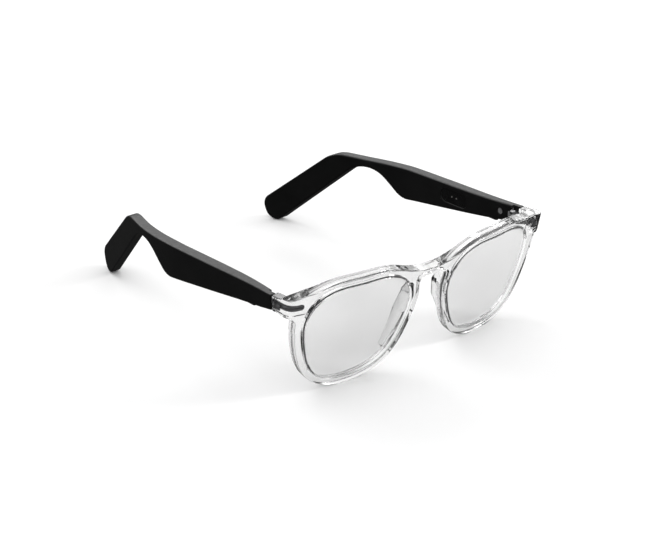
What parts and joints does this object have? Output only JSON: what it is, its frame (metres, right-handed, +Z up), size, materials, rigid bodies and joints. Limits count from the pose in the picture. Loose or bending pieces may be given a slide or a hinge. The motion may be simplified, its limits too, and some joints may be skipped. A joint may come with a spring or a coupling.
{
  "type": "smart glasses",
  "caption": "Audio smart glasses: a clear keyhole-bridge front with clear lenses, and black folding temples that hold a battery, board, speaker and charging port.",
  "frame": {"origin": "on the resting surface, under the middle of the open glasses", "axes": "+X to the wearer's left, across the front; -Y the way the wearer looks; +Z up"},
  "size_m": [0.1416, 0.1748, 0.0522],
  "materials": {
    "clear_frame": "water-clear, polished",
    "lens_glass": "clear with a faint grey tint",
    "hinge_steel": "dark satin",
    "screw_steel": "turned",
    "black_casing": "satin moulded",
    "black_cover": "satin moulded",
    "battery_foil": "foil pouch",
    "board_green": "solder mask",
    "chip_black": "moulded epoxy",
    "speaker_frame": "moulded",
    "speaker_gauze": "woven gauze",
    "port_black": "polished moulded",
    "contact_plate": "bright plated",
    "magnet_plate": "nickel plated",
    "antenna_foil": "rolled foil",
    "lead_film": "amber film",
    "button_black": "satin moulded",
    "switch_dome": "pressed dome"
  },
  "bodies": {
    "front": {"front_frame": "clear_frame", "right_lens": "lens_glass", "right_nose_pad": "clear_frame", "right_hinge_front": "hinge_steel", "right_hinge_screw": "screw_steel", "left_lens": "lens_glass", "left_nose_pad": "clear_frame", "left_hinge_front": "hinge_steel", "left_hinge_screw": "screw_steel"},
    "right_temple": {"right_temple_shell": "black_casing", "right_temple_cover": "black_cover", "right_hinge_arm": "screw_steel", "right_arm_screw": "screw_steel", "right_battery": "battery_foil", "right_circuit_board": "board_green", "right_board_chips": "chip_black", "right_speaker": "speaker_frame", "right_speaker_mesh": "speaker_gauze", "right_charge_port": "port_black", "right_charge_contacts": "contact_plate", "right_charge_magnets": "magnet_plate", "right_microphone": "screw_steel", "right_antenna": "antenna_foil", "right_battery_lead": "lead_film", "right_button_switch": "switch_dome"},
    "right_button": {"right_button": "button_black"},
    "left_temple": {"left_temple_shell": "black_casing", "left_temple_cover": "black_cover", "left_hinge_arm": "screw_steel", "left_arm_screw": "screw_steel", "left_battery": "battery_foil", "left_circuit_board": "board_green", "left_board_chips": "chip_black", "left_speaker": "speaker_frame", "left_speaker_mesh": "speaker_gauze", "left_charge_port": "port_black", "left_charge_contacts": "contact_plate", "left_charge_magnets": "magnet_plate", "left_microphone": "screw_steel", "left_antenna": "antenna_foil", "left_battery_lead": "lead_film", "left_button_switch": "switch_dome"},
    "left_button": {"left_button": "button_black"}
  },
  "joints": [
    {"name": "right_temple_fold", "type": "hinge", "parent": "front", "child": "right_temple", "pos_m": [-0.0656, -0.066, 0.0439], "axis": [0, 0, -1], "range_deg": [0, 70]},
    {"name": "left_temple_fold", "type": "hinge", "parent": "front", "child": "left_temple", "pos_m": [0.0656, -0.066, 0.0439], "axis": [0, 0, 1], "range_deg": [0, 85.5]},
    {"name": "right_button_press", "type": "slide", "parent": "right_temple", "child": "right_button", "axis": [0, 0, 1], "range_m": [0, 0.0004], "stiffness_N_per_m": 400},
    {"name": "left_button_press", "type": "slide", "parent": "left_temple", "child": "left_button", "axis": [0, 0, 1], "range_m": [0, 0.0004], "stiffness_N_per_m": 400}
  ]
}
